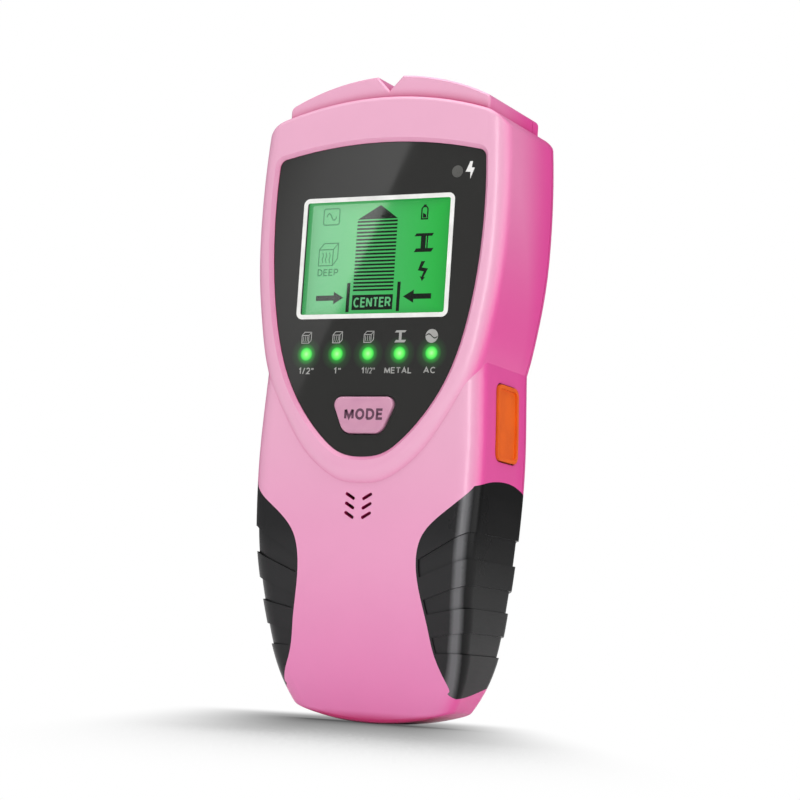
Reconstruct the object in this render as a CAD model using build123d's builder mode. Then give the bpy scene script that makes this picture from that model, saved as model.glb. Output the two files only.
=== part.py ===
from build123d import *
from math import radians, tan
import os

os.makedirs("parts", exist_ok=True)

# A hand-held stud finder. It stands upright with +Z towards the marking notch, its display
# faces -Y and its flat rear face, which slides on the wall, lies in the plane Y = 0.
# "Depth" is the distance in front of that rear face, so a depth of 10 is Y = -10.

# --- Driving dimensions, millimetres ---------------------------------------------------
bezel_depth = 30.9          # front of the raised head
body_depth = 29.6           # front of the lower body
crown_depth = 28.3          # front of the top step that carries the notch
seam_depth = 3.7            # parting plane between the two shells
seam_gap = 0.15             # shadow gap at the parting plane
head_width = 67.7
head_top = 72.4
crown_top = 78.2
bottom_end = -78.0
wall = 2.2                  # shell wall in the head
grip_wall = 4.0             # lower body side: shell plus grip
grip_depth = 1.5            # thickness of the grip in its pocket
cavity_front = 27.4         # inside of the front wall
cavity_rear = 1.8           # inside of the rear wall

lens_front = 29.9
lens_thickness = 1.2
lens_gap = 0.1
window_size = (46.4, 35.2)  # opening in the front wall behind the lens
display_center = 33.0       # height of the display's centre
led_row = 9.45
led_pitch = 8.52
led_diameter = 3.0
warning_led_at = (20.75, 52.9)

mode_center = -5.4          # height of the mode button's centre
mode_proud = 30.7           # depth of the mode button's face
button_travel = 0.35
button_gap = 0.3            # gap round a moving button
flange_thickness = 1.0

side_button_depth = 14.05   # centre of the side button
side_button_height = -5.4
side_button_size = (11.4, 18.2)
side_button_face = 30.75

board_front = 23.6
board_thickness = 1.6
board_rear = board_front - board_thickness
sensor_board_rear = 3.2
sensor_board_front = 4.2

battery_size = (26.5, 17.5, 48.5)
battery_bottom = -61.0
battery_rear = 2.7
bay_clearance = 0.5
bay_wall = 1.2
bay_top = 0.8
door_thickness = 1.6
door_half_width = 15.2
door_bottom = -63.4
door_top = -6.0
door_gap = 0.35
hinge_depth = 2.0
hinge_height = door_bottom + 1.0
hinge_gap = 0.65            # room below the door for its lower edge to swing
hinge_pin_radius = 0.6
switch_top = 25.7           # depth of the mode switch plunger's tip

shell_screw_spots = [(-26.3, 58.5), (26.3, 58.5), (-19.3, -57.5), (19.3, -57.5)]
sensor_screw_spots = [(-19.0, 61.0), (19.0, 61.0), (-19.0, 9.0), (19.0, 9.0)]
board_screw_spots = [(-16.5, 59.0), (16.5, 59.0), (-13.4, 3.8), (13.4, 3.8)]

front = Plane.XZ            # looks at the display; offset(d) lies at depth d
side = Plane.YZ             # looks at the right side


def at_depth(depth):
    return front.offset(depth)


def name_and_save(part, label):
    part.label = label
    export_step(part, f"parts/{label}.step")
    print(label, "saved")


# --- Outlines as seen from the front: X to the right, Y up -------------------------------
def shifted(points, amount):
    # the same curve moved to its right-hand side, each point square to its neighbours
    moved = []
    for before, here, after in zip(points[:1] + points[:-1], points, points[1:] + points[-1:]):
        along = (Vector(*after) - Vector(*before)).normalized()
        moved.append(Vector(*here) + Vector(along.Y, -along.X) * amount)
    return moved


def on_axis(points):
    # a half outline ends on the centre line
    return points[:-1] + [Vector(0, points[-1].Y)]


def head_outline(inset=0.0):
    # shield: a crowned top, sloping shoulders, then sides that run into the U of the rim
    crown = shifted([(0, head_top), (14.3, 71.3), (27.3, 68.2)], inset)
    sides = shifted(
        [(33.0, 63.9), (head_width / 2, 45.0), (33.2, 28.9), (31.4, 16.5), (28.6, 5.0),
         (22.4, -7.0), (16.2, -15.3), (8.7, -21.0), (0, -22.85)], inset)
    with BuildSketch() as outline:
        with BuildLine():
            top = TangentArc((0, crown[0].Y), crown[2], tangent=(1, 0))
            TangentArc(top @ 1, sides[0], tangent=top % 1)
            Spline(*on_axis(sides), tangents=[(0.09, -1), (-1, 0)])
            mirror(about=Plane.YZ)
        make_face()
    return outline.sketch


def body_outline(inset=0.0):
    sides = shifted(
        [(29.3, 14), (29.8, 2.0), (30.5, -14.0), (30.2, -28.0), (27.9, -53.0), (25.4, -66.0),
         (21.6, -74.2)], inset)
    with BuildSketch() as outline:
        with BuildLine():
            Line((0, sides[0].Y), sides[0])
            Spline(*sides)
            TangentArc((0, bottom_end + inset), sides[-1], tangent=(1, 0))
            mirror(about=Plane.YZ)
        make_face()
    return outline.sketch


def crown_outline():
    with BuildSketch() as outline:
        with BuildLine():
            arc = TangentArc((0, crown_top), (27.4, crown_top - 6.5), tangent=(1, 0))
            Polyline(arc @ 1, (27.4, 55), (0, 55))
            mirror(about=Plane.YZ)
        make_face()
    return outline.sketch


def lens_outline(inset=0.0):
    sides = shifted(
        [(28.1, 57.8), (28.65, 44.0), (26.1, 18.1), (20.0, 0.6), (9.3, -12.3), (0, -15.4)], inset)
    with BuildSketch() as outline:
        with BuildLine():
            edge = Spline(*on_axis(sides), tangents=[(0.1, -1), (-1, 0)])
            TangentArc((0, 61.2 - inset), edge @ 0, tangent=(1, 0))
            mirror(about=Plane.YZ)
        make_face()
        fillet(outline.vertices().filter_by(lambda v: abs(v.X) > 20), radius=2.2 - inset)
    return outline.sketch


def mode_outline(grow=0.0):
    # wide at the top, narrow at the bottom, like a keystone
    with BuildSketch() as outline:
        with BuildLine():
            Polyline((0, -1.0), (9.0, -1.0), (5.1, -9.8), (0, -9.8))
            mirror(about=Plane.YZ)
        make_face()
        fillet(outline.vertices().group_by(Axis.Y)[-1], radius=1.9)
        fillet(outline.vertices().group_by(Axis.Y)[0], radius=3.0)
        if grow:
            offset(amount=grow, kind=Kind.ARC)
    return outline.sketch


# --- Outer forms ------------------------------------------------------------------------
def lower_form(side_inset, face_inset, front_round, rear_round, end_round=0.0):
    # the hand-held part; its toe curves back at the front and a little at the rear
    with BuildPart() as form:
        with BuildSketch(front.offset(-1)):
            add(body_outline(side_inset))
        extrude(amount=bezel_depth + 1)
        toe_points = shifted(
            [(-body_depth, -31), (-27.9, -45), (-24.9, -56), (-21.8, -66), (-16.0, -82)],
            -face_inset)
        with BuildSketch(side.offset(-40)):
            with BuildLine():
                toe = Spline(*toe_points, tangents=[(0, -1), (0.36, -1)])
                heel = TangentArc(
                    (-face_inset, -52), (-6.6 - face_inset, -82), tangent=(0, -1))
                Polyline(toe @ 0, (-body_depth + face_inset, 30), (-face_inset, 30), heel @ 0)
                Line(toe @ 1, heel @ 1)
            make_face()
        extrude(amount=80, mode=Mode.INTERSECT)
        sides = form.edges().filter_by(lambda e: abs(e.center().X) > 15 and e.length > 8)
        fillet(sides.filter_by(lambda e: e.center().Y < -14), radius=front_round)
        sides = form.edges().filter_by(lambda e: abs(e.center().X) > 15 and e.length > 8)
        fillet(sides.filter_by(lambda e: e.center().Y > -9), radius=rear_round)
        if end_round:
            fillet(form.faces().sort_by(Axis.Z)[0].edges(), radius=end_round)
    return form.part


def head_form():
    with BuildPart() as form:
        with BuildSketch(front):
            add(head_outline())
        extrude(amount=bezel_depth)
        rims = form.edges().filter_by(lambda e: e.length > 60)
        fillet(rims.filter_by(lambda e: e.center().Y < -20), radius=4.4)
        rims = form.edges().filter_by(lambda e: e.length > 60)
        fillet(rims.filter_by(lambda e: e.center().Y > -5), radius=3.6)
        corners = form.edges().filter_by(Axis.Y).filter_by(lambda e: abs(e.center().X) > 31)
        tops = form.edges().filter_by(
            lambda e: e.center().Z > 60 and abs((e @ 0).Y - (e @ 1).Y) < 0.01
        )
        fillet(corners + tops, radius=1.1)
    return form.part


def crown_form():
    with BuildPart() as form:
        with BuildSketch(front):
            add(crown_outline())
        extrude(amount=crown_depth)
        ends = form.edges().filter_by(Axis.Y).filter_by(lambda e: e.center().Z > 65)
        fillet(ends.filter_by(lambda e: abs(e.center().X) > 20), radius=1.6)
        with BuildSketch(front):
            Polygon((-4.6, 79.2), (4.6, 79.2), (0, 74.5), align=None)
        extrude(amount=crown_depth, mode=Mode.SUBTRACT)
        rim = form.edges().filter_by(
            lambda e: e.center().Z > 70 and abs((e @ 0).Y - (e @ 1).Y) < 0.01
        )
        chamfer(rim, length=0.45)
    return form.part


hand_form = lower_form(0, 0, 5.0, 3.6, 1.5)

with BuildPart() as outer_form:
    add(hand_form)
    add(head_form())
    add(crown_form())

grip_core = lower_form(grip_depth, grip_depth, 3.5, 2.1)

# the recessed bands lie half a millimetre under the raised ones, all round the hand form
recess = 0.5
recess_scale = (1 - recess / 30.2, 1 - 2 * recess / body_depth, 1)
recessed_skin = Pos(0, -recess, 0) * scale(hand_form, by=recess_scale)


def front_grip_outline(inset=0.0):
    # right-hand grip on the front: swells inwards like a palm rest, then narrows to the toe
    inner_points = shifted(
        [(33.0, -14.5), (30.7, -17.9), (29.2, -22.0), (26.4, -25.2), (20.9, -29.6), (17.3, -33.9), (16.0, -39.5),
         (16.5, -46.0), (18.2, -54.5), (20.3, -63.5), (22.3, -69.3), (25.6, -72.5)], -inset)
    with BuildSketch() as outline:
        with BuildLine():
            inner = Spline(*inner_points, tangents=[(-1, -1), (1, -0.6)])
            Polyline(inner @ 1, (36, (inner @ 1).Y), (36, (inner @ 0).Y), inner @ 0)
        make_face()
    return outline.sketch


def rear_grip_outline():
    # on the back the grip only laps round the rounded edge
    with BuildSketch() as outline:
        with BuildLine():
            inner = Spline(
                (33.0, -17.6), (29.4, -19.8), (27.0, -25.0), (26.2, -40.0), (25.0, -52.0),
                (22.9, -65.0), (23.2, -69.4), (25.6, -72.5), tangents=[(-1, -0.3), (1, -0.6)],
            )
            Polyline(inner @ 1, (36, -72.5), (36, -17.6), inner @ 0)
        make_face()
    return outline.sketch


grip_split = 13.0           # depth at which the front outline hands over to the rear one


def grip_prism(outline, start, end):
    with BuildPart() as prism:
        with BuildSketch(at_depth(start)):
            add(outline)
        extrude(amount=end - start)
        # seen from the side, the upper edge is a low arch and the lower one rises to the rear
        with BuildSketch(side.offset(10)):
            with BuildLine():
                arch = Spline((4, -24.5), (-2.7, -21.1), (-8.8, -19.6), (-15.7, -19.4),
                              (-24.0, -20.6), (-33, -23.6))
                sill = Spline((4, -66.5), (-8.7, -69.1), (-13.5, -70.3), (-19.2, -71.0),
                              (-33, -71.2))
                Line(arch @ 0, sill @ 0)
                Line(arch @ 1, sill @ 1)
            make_face()
        extrude(amount=30, mode=Mode.INTERSECT)
    return prism.part


front_prism = grip_prism(front_grip_outline(), grip_split, bezel_depth + 2)
rear_prism = grip_prism(rear_grip_outline(), -1, grip_split)

# each recessed band lies between two lines that slope on the front and run level on the side
band_edges = [
    [(13, -41.2), (28.5, -32.4), (36, -31.7)],
    [(13, -44.8), (28.5, -38.5), (36, -38.0)],
    [(13, -50.1), (28.5, -44.4), (36, -43.8)],
    [(13, -52.9), (28.5, -49.7), (36, -49.4)],
    [(13, -58.1), (28.0, -55.3), (36, -55.0)],
    [(13, -60.8), (28.0, -60.4), (36, -60.4)],
]

with BuildPart() as band_region:
    with BuildSketch(front.offset(-2)):
        for upper, lower in zip(band_edges[0::2], band_edges[1::2]):
            Polygon(*upper, *reversed(lower), align=None)
    extrude(amount=bezel_depth + 4)
    with BuildSketch(at_depth(grip_split)):
        add(front_grip_outline())
        add(front_grip_outline(0.6), mode=Mode.SUBTRACT)
    extrude(amount=bezel_depth - grip_split + 2, mode=Mode.SUBTRACT)
    add(recessed_skin, mode=Mode.SUBTRACT)

with BuildPart() as rear_half:
    add(rear_prism)
    add(hand_form, mode=Mode.INTERSECT)
    add(grip_core, mode=Mode.SUBTRACT)
    add(band_region.part, mode=Mode.SUBTRACT)

with BuildPart() as right_grip:
    add(front_prism)
    add(hand_form, mode=Mode.INTERSECT)
    add(grip_core, mode=Mode.SUBTRACT)
    add(band_region.part, mode=Mode.SUBTRACT)
    add(rear_half.part)
left_grip = mirror(right_grip.part, about=Plane.YZ)
name_and_save(right_grip.part, "right_grip")
name_and_save(left_grip, "left_grip")


# --- Shells -----------------------------------------------------------------------------
def box_between(x, depth, z, mode=Mode.ADD):
    # box given by its limits: an x pair, a depth pair and a height pair
    with BuildPart() as block:
        with Locations(((x[0] + x[1]) / 2, -(depth[0] + depth[1]) / 2, (z[0] + z[1]) / 2)):
            Box(x[1] - x[0], depth[1] - depth[0], z[1] - z[0])
    return block.part


with BuildPart() as cavity:
    with BuildSketch(at_depth(cavity_rear)):
        add(head_outline(wall))
    extrude(amount=cavity_front - cavity_rear)
    add(lower_form(grip_wall, 3.0, 3.0, 1.0))

bay_half_width = battery_size[0] / 2 + bay_clearance
bay_front = battery_rear + battery_size[1] + 0.2
bay_bottom = battery_bottom - bay_clearance
everywhere = (-50, 50)

with BuildPart() as front_pocket:
    add(front_prism)
    add(grip_core, mode=Mode.SUBTRACT)

with BuildPart() as rear_pocket:
    add(rear_prism)
    add(grip_core, mode=Mode.SUBTRACT)

pockets = [front_pocket.part, rear_pocket.part]
pockets += [mirror(pocket, about=Plane.YZ) for pocket in pockets]

with BuildPart() as front_shell:
    add(outer_form.part)
    add(box_between(everywhere, (-5, seam_depth + seam_gap), (-90, 90)), mode=Mode.SUBTRACT)
    # seat of the lens, its bevelled edge and the openings behind it
    with BuildSketch(at_depth(lens_front - lens_thickness)):
        add(lens_outline())
    extrude(amount=5, mode=Mode.SUBTRACT)
    bezel_rim = front_shell.faces().sort_by(Axis.Y)[0].inner_wires()[0]
    chamfer(bezel_rim.edges(), length=0.9)
    for pocket in pockets:
        add(pocket, mode=Mode.SUBTRACT)
    add(cavity.part, mode=Mode.SUBTRACT)
    # posts for the shell screws and the main board
    for spots, reach in ((shell_screw_spots[:2], cavity_front), (shell_screw_spots[2:], 21.9)):
        with BuildSketch(at_depth(seam_depth + seam_gap)):
            with Locations(*spots):
                Circle(3.0)
        extrude(amount=reach - seam_depth)
    with BuildSketch(at_depth(board_front)):
        with Locations(*board_screw_spots):
            Circle(2.4)
    extrude(amount=cavity_front - board_front + 0.5)
    with BuildSketch(at_depth(seam_depth)):
        with Locations(*shell_screw_spots):
            Circle(1.27)
    extrude(amount=12, mode=Mode.SUBTRACT)
    with BuildSketch(at_depth(board_front)):
        with Locations(*board_screw_spots):
            Circle(0.92)
    extrude(amount=3.2, mode=Mode.SUBTRACT)
    # display window, lamp holes and mode button hole
    with BuildSketch(at_depth(cavity_front - 1)):
        with Locations((0, display_center)):
            RectangleRounded(*window_size, 1.5)
        with Locations((0, led_row)):
            with GridLocations(led_pitch, 1, 5, 1):
                Circle(1.75)
        with Locations(warning_led_at):
            Circle(1.6)
        add(mode_outline(button_gap))
    extrude(amount=5, mode=Mode.SUBTRACT)
    # sounder slots: two columns that lean inwards and down, with the sounder's seat behind
    with BuildSketch(at_depth(20)):
        for row in range(3):
            for turn in (1, -1):
                with Locations((turn * 2.3, -24.75 - row * 2.25)):
                    SlotOverall(2.9, 0.8, rotation=turn * 30)
    extrude(amount=12, mode=Mode.SUBTRACT)
    with BuildSketch(at_depth(24)):
        with Locations((0, -27)):
            Circle(10.3)
    extrude(amount=3.6, mode=Mode.SUBTRACT)
    # hole for the side button, and room for the battery bay
    with BuildSketch(side.offset(20)):
        with Locations((-side_button_depth, side_button_height)):
            RectangleRounded(side_button_size[0] + 0.6, side_button_size[1] + 0.6, 2.3)
    extrude(amount=20, mode=Mode.SUBTRACT)
    add(box_between((-15.2, 15.2), (0, bay_front + 1.35), (-62.9, 1)), mode=Mode.SUBTRACT)
name_and_save(front_shell.part, "front_shell")

# --- Rear shell with the battery bay ------------------------------------------------------
wall_side = Plane(origin=(0, 0, 0), x_dir=(-1, 0, 0), z_dir=(0, 1, 0))

with BuildPart() as rear_shell:
    add(outer_form.part)
    add(box_between(everywhere, (seam_depth, 40), (-90, 90)), mode=Mode.SUBTRACT)
    for pocket in pockets:
        add(pocket, mode=Mode.SUBTRACT)
    add(cavity.part, mode=Mode.SUBTRACT)
    # screw posts, and low posts for the sensor board
    with BuildSketch(at_depth(cavity_rear - 0.2)):
        with Locations(*shell_screw_spots):
            Circle(4.0)
    extrude(amount=seam_depth - cavity_rear + 0.2)
    with BuildSketch(at_depth(cavity_rear - 0.2)):
        with Locations(*sensor_screw_spots):
            Circle(2.2)
    extrude(amount=sensor_board_rear - cavity_rear + 0.2)
    # battery bay walls
    add(box_between((-bay_half_width - bay_wall, bay_half_width + bay_wall),
                    (2.6, bay_front + bay_wall), (bay_bottom - bay_wall, bay_top)))
    add(box_between((-bay_half_width, bay_half_width), (-5, bay_front),
                    (bay_bottom, door_top - door_gap)), mode=Mode.SUBTRACT)
    add(box_between((-bay_half_width, bay_half_width), (3.0, bay_front),
                    (bay_bottom, bay_top - bay_wall)), mode=Mode.SUBTRACT)
    add(box_between((-5.5, 5.5), (9.0, 14.0), (-2, 2)), mode=Mode.SUBTRACT)
    # seat of the door, with hinge holes low on both sides
    add(box_between((-door_half_width - door_gap, door_half_width + door_gap),
                    (-5, door_thickness + 0.1), (door_bottom - hinge_gap, door_top + door_gap)),
        mode=Mode.SUBTRACT)
    add(box_between((-door_half_width - door_gap, door_half_width + door_gap),
                    (-5, hinge_depth + 1.4), (door_bottom - hinge_gap, bay_bottom + 0.5)),
        mode=Mode.SUBTRACT)
    with BuildSketch(side):
        with Locations((-hinge_depth, hinge_height)):
            Circle(hinge_pin_radius + 0.06)
    extrude(amount=door_half_width + 1.3, both=True, mode=Mode.SUBTRACT)
    with BuildSketch(wall_side):
        with Locations(*[(-x, z) for x, z in shell_screw_spots]):
            Circle(1.6)
    extrude(amount=-6, mode=Mode.SUBTRACT)
    with BuildSketch(wall_side):
        with Locations(*[(-x, z) for x, z in shell_screw_spots]):
            Circle(3.1)
    extrude(amount=-2.3, mode=Mode.SUBTRACT)
    with BuildSketch(at_depth(sensor_board_rear - 1.9)):
        with Locations(*sensor_screw_spots):
            Circle(0.82)
    extrude(amount=3, mode=Mode.SUBTRACT)
name_and_save(rear_shell.part, "rear_shell")

with BuildPart() as battery_door:
    add(hand_form)
    add(box_between((-door_half_width, door_half_width), (-1, door_thickness),
                    (door_bottom, door_top)), mode=Mode.INTERSECT)
    fillet(battery_door.edges().filter_by(Axis.Y).group_by(Axis.Z)[-1], radius=1.5)
    # hinge bar and its two pins
    add(box_between((-door_half_width, door_half_width), (1.2, hinge_depth + 0.75),
                    (door_bottom, door_bottom + 2.0)))
    with BuildSketch(side):
        with Locations((-hinge_depth, hinge_height)):
            Circle(hinge_pin_radius)
    extrude(amount=door_half_width + 1.1, both=True)
    # springy latch tab between two slots, with ridges for the thumb
    for x in (-7.0, 7.0):
        add(box_between((x - 0.5, x + 0.5), (-1, 3), (-17.5, door_top + 1)), mode=Mode.SUBTRACT)
    for step in range(4):
        low = door_top - 3.2 - 1.9 * step
        add(box_between((-5.0, 5.0), (-1, 0.45), (low, low + 0.9)), mode=Mode.SUBTRACT)
name_and_save(battery_door.part, "battery_door")

with BuildPart() as battery_pad:
    add(box_between((-10.5, 10.5), (door_thickness, door_thickness + 0.95), (-57, -22)))
    fillet(battery_pad.edges().filter_by(Axis.Y), radius=1.5)
name_and_save(battery_pad.part, "battery_pad")


def screw(spots, seat, head_radius, head_height, shank_radius, length):
    # pan-head screws driven from the back, their heads resting at the depth called seat
    with BuildPart() as screws:
        with BuildSketch(at_depth(seat - head_height)):
            with Locations(*spots):
                Circle(head_radius)
        extrude(amount=head_height)
        heads = screws.faces().filter_by(Axis.Y).group_by(Axis.Y)[-1]
        fillet(heads.edges(), radius=head_height * 0.4)
        with BuildSketch(at_depth(seat - head_height)):
            with Locations(*spots):
                Rectangle(head_radius * 1.1, head_radius * 0.26)
                Rectangle(head_radius * 0.26, head_radius * 1.1)
        extrude(amount=head_height * 0.6, mode=Mode.SUBTRACT)
        with BuildSketch(at_depth(seat)):
            with Locations(*spots):
                Circle(shank_radius)
        extrude(amount=length)
    return screws.part


name_and_save(screw(shell_screw_spots, 2.3, 2.7, 1.6, 1.25, 11.0), "shell_screws")
name_and_save(screw(board_screw_spots, board_rear, 2.0, 1.3, 0.9, 4.4), "board_screws")
with BuildPart() as sensor_screws:
    # short screws from the front of the sensor board into the rear shell's posts
    with BuildSketch(at_depth(sensor_board_front)):
        with Locations(*sensor_screw_spots):
            Circle(1.6)
    extrude(amount=1.1)
    with BuildSketch(at_depth(sensor_board_front)):
        with Locations(*sensor_screw_spots):
            Circle(0.8)
    extrude(amount=-2.8)
name_and_save(sensor_screws.part, "sensor_board_screws")

# --- Front face: lens, buttons ------------------------------------------------------------
with BuildPart() as display_lens:
    with BuildSketch(at_depth(lens_front - lens_thickness)):
        add(lens_outline(lens_gap))
        add(mode_outline(button_gap), mode=Mode.SUBTRACT)
    extrude(amount=lens_thickness)
name_and_save(display_lens.part, "display_lens")

mode_flange_front = cavity_front - 0.1
with BuildPart() as mode_button:
    with BuildSketch(at_depth(mode_flange_front - flange_thickness)):
        add(mode_outline(1.3))
    extrude(amount=flange_thickness)
    with BuildSketch(at_depth(mode_flange_front)):
        add(mode_outline())
    extrude(amount=mode_proud - mode_flange_front)
    fillet(mode_button.faces().sort_by(Axis.Y)[0].edges(), radius=0.5)
    with BuildSketch(at_depth(switch_top + 0.05)):
        with Locations((0, mode_center)):
            Circle(1.3)
    extrude(amount=mode_flange_front - flange_thickness - switch_top - 0.05)
name_and_save(mode_button.part, "mode_button")

with BuildPart() as mode_switch:
    with BuildSketch(at_depth(board_front)):
        with Locations((0, mode_center)):
            Rectangle(6.2, 6.2)
    extrude(amount=1.2)
    fillet(mode_switch.edges().filter_by(Axis.Y), radius=0.6)
    with BuildSketch(at_depth(board_front + 0.15)):
        with Locations((0, mode_center)):
            Circle(1.56)
    extrude(amount=3, mode=Mode.SUBTRACT)
name_and_save(mode_switch.part, "mode_switch")

with BuildPart() as mode_switch_plunger:
    with BuildSketch(at_depth(board_front + 0.6)):
        with Locations((0, mode_center)):
            Circle(1.5)
    extrude(amount=switch_top - board_front - 0.6)
name_and_save(mode_switch_plunger.part, "mode_switch_plunger")

button_at = (-side_button_depth, side_button_height)
power_flange_face = 25.2
power_flange_back = power_flange_face - flange_thickness
raised_skin = scale(hand_form, by=(side_button_face / 30.2, 1, 1))

with BuildPart() as button_recess:
    # the shallow panel in the button's face, down to the level of the side wall
    with BuildSketch(side.offset(power_flange_face + 1)):
        with Locations(button_at):
            RectangleRounded(side_button_size[0] - 1.9, side_button_size[1] - 1.9, 1.3)
    extrude(amount=10)
    add(hand_form, mode=Mode.SUBTRACT)

with BuildPart() as power_button:
    with BuildSketch(side.offset(power_flange_face)):
        with Locations(button_at):
            RectangleRounded(side_button_size[0], side_button_size[1], 2.0)
    extrude(amount=10)
    add(raised_skin, mode=Mode.INTERSECT)
    add(button_recess.part, mode=Mode.SUBTRACT)
    with BuildSketch(side.offset(power_flange_back)):
        with Locations(button_at):
            RectangleRounded(side_button_size[0] + 2.4, side_button_size[1] + 2.4, 3.0)
    extrude(amount=flange_thickness)
name_and_save(power_button.part, "power_button")

# --- Side button switch -------------------------------------------------------------------
with BuildPart() as switch_board:
    add(box_between((19.6, 20.8), (8.0, board_rear), (-13.0, 2.2)))
name_and_save(switch_board.part, "switch_board")

with BuildPart() as power_switch:
    add(box_between((20.8, 23.0), (side_button_depth - 3.1, side_button_depth + 3.1),
                    (side_button_height - 3.1, side_button_height + 3.1)))
    with BuildSketch(side.offset(21.0)):
        with Locations(button_at):
            Circle(1.56)
    extrude(amount=4, mode=Mode.SUBTRACT)
name_and_save(power_switch.part, "power_switch")

with BuildPart() as power_switch_plunger:
    with BuildSketch(side.offset(21.6)):
        with Locations(button_at):
            Circle(1.5)
    extrude(amount=power_flange_back - 0.05 - 21.6)
name_and_save(power_switch_plunger.part, "power_switch_plunger")

# --- Main board and what it carries ---------------------------------------------------------
with BuildPart() as main_board:
    with BuildSketch(at_depth(board_rear)):
        add(head_outline(5.2))
        with Locations((0, -30)):
            Rectangle(80, 31, mode=Mode.SUBTRACT)
        with Locations(*shell_screw_spots):
            Circle(4.2, mode=Mode.SUBTRACT)
        with Locations(*board_screw_spots):
            Circle(1.2, mode=Mode.SUBTRACT)
    extrude(amount=board_thickness)
name_and_save(main_board.part, "main_board")

with BuildPart() as display_holder:
    with BuildSketch(at_depth(board_front)):
        with Locations((0, display_center)):
            RectangleRounded(50.0, 38.6, 1.2)
            Rectangle(45.8, 34.6, mode=Mode.SUBTRACT)
        with Locations(warning_led_at):
            Circle(2.2, mode=Mode.SUBTRACT)
    extrude(amount=cavity_front - board_front - 0.1)
name_and_save(display_holder.part, "display_holder")

with BuildPart() as display_backlight:
    with BuildSketch(at_depth(board_front + 0.05)):
        with Locations((0, display_center)):
            Rectangle(45.4, 30.0)
    extrude(amount=3.0)
    chamfer(display_backlight.faces().sort_by(Axis.Y)[0].edges(), length=0.3)
name_and_save(display_backlight.part, "display_backlight")

with BuildPart() as display_glass:
    with BuildSketch(at_depth(board_front + 3.15)):
        with Locations((0, display_center)):
            Rectangle(45.4, 34.2)
    extrude(amount=1.85)
name_and_save(display_glass.part, "display_glass")

with BuildPart() as display_contacts:
    # two rubber strips that carry the signals from the board to the glass
    with BuildSketch(at_depth(board_front + 0.02)):
        with Locations((0, display_center - 16.2), (0, display_center + 16.2)):
            Rectangle(44.0, 1.6)
    extrude(amount=3.1)
name_and_save(display_contacts.part, "display_contacts")

lamp_spots = [(led_pitch * step, led_row) for step in range(-2, 3)]


def lamp(spots, tip):
    with BuildPart() as lamps:
        with BuildSketch(at_depth(board_front)):
            with Locations(*spots):
                Circle(1.9)
        extrude(amount=0.9)
        with BuildSketch(at_depth(board_front)):
            with Locations(*spots):
                Circle(led_diameter / 2)
        extrude(amount=tip - board_front)
        fillet(lamps.faces().filter_by(Axis.Y).group_by(Axis.Y)[0].edges(), radius=1.3)
    return lamps.part


name_and_save(lamp(lamp_spots, lens_front - lens_thickness - 0.15), "indicator_lamps")
name_and_save(lamp([warning_led_at], lens_front - lens_thickness - 0.15), "warning_lamp")

with BuildPart() as microcontroller:
    # flat package with its rows of legs, on the back of the board
    with BuildSketch(at_depth(board_rear - 1.5)):
        with Locations((-10, 24)):
            Rectangle(10.0, 10.0)
    extrude(amount=1.35)
    chamfer(microcontroller.faces().sort_by(Axis.Y)[-1].edges(), length=0.25)
    with BuildSketch(at_depth(board_rear - 0.5)):
        with Locations((-10, 24)):
            with GridLocations(12.0, 0.8, 1, 11):
                Rectangle(12.2, 0.35)
            with GridLocations(0.8, 12.0, 11, 1):
                Rectangle(0.35, 12.2)
    extrude(amount=0.5)
name_and_save(microcontroller.part, "microcontroller")

with BuildPart() as amplifier_chips:
    for spot in [(11, 30), (11, 40), (-11, 42)]:
        with BuildSketch(at_depth(board_rear - 1.5)):
            with Locations(spot):
                Rectangle(5.0, 4.0)
        extrude(amount=1.35)
        with BuildSketch(at_depth(board_rear - 0.5)):
            with Locations(spot):
                with GridLocations(1.27, 1, 4, 1):
                    Rectangle(0.42, 6.0)
        extrude(amount=0.5)
name_and_save(amplifier_chips.part, "amplifier_chips")

with BuildPart() as clock_crystal:
    with BuildSketch(at_depth(board_rear - 3.4)):
        with Locations((-10, 34.5)):
            SlotOverall(11.0, 4.6)
    extrude(amount=3.4)
    fillet(clock_crystal.faces().sort_by(Axis.Y)[-1].edges(), radius=0.6)
name_and_save(clock_crystal.part, "clock_crystal")

with BuildPart() as filter_capacitors:
    with BuildSketch(at_depth(board_rear - 7.5)):
        with Locations((12, 18), (19.5, 18)):
            Circle(2.6)
    extrude(amount=7.5)
    fillet(filter_capacitors.faces().filter_by(Axis.Y).group_by(Axis.Y)[-1].edges(), radius=0.5)
name_and_save(filter_capacitors.part, "filter_capacitors")

with BuildPart() as chip_resistors:
    with BuildSketch(at_depth(board_rear - 0.55)):
        with Locations((2, 34)):
            with GridLocations(2.6, 3.4, 3, 5):
                Rectangle(0.9, 1.7)
    extrude(amount=0.55)
name_and_save(chip_resistors.part, "chip_resistors")

with BuildPart() as sounder_ring:
    with BuildSketch(at_depth(23.6)):
        with Locations((0, -27)):
            Circle(10.2)
            Circle(8.6, mode=Mode.SUBTRACT)
    extrude(amount=3.95)
name_and_save(sounder_ring.part, "sounder_ring")

with BuildPart() as sounder_disc:
    with BuildSketch(at_depth(24.6)):
        with Locations((0, -27)):
            Circle(8.6)
    extrude(amount=0.25)
    with BuildSketch(at_depth(24.4)):
        with Locations((0, -27)):
            Circle(6.0)
    extrude(amount=0.2)
name_and_save(sounder_disc.part, "sounder_disc")

# --- Sensor board by the wall ----------------------------------------------------------------
with BuildPart() as sensor_board:
    with BuildSketch(at_depth(sensor_board_rear)):
        with Locations((0, 35)):
            RectangleRounded(43.6, 58.0, 3.0)
        with Locations(*sensor_screw_spots):
            Circle(1.0, mode=Mode.SUBTRACT)
    extrude(amount=sensor_board_front - sensor_board_rear)
name_and_save(sensor_board.part, "sensor_board")

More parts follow.
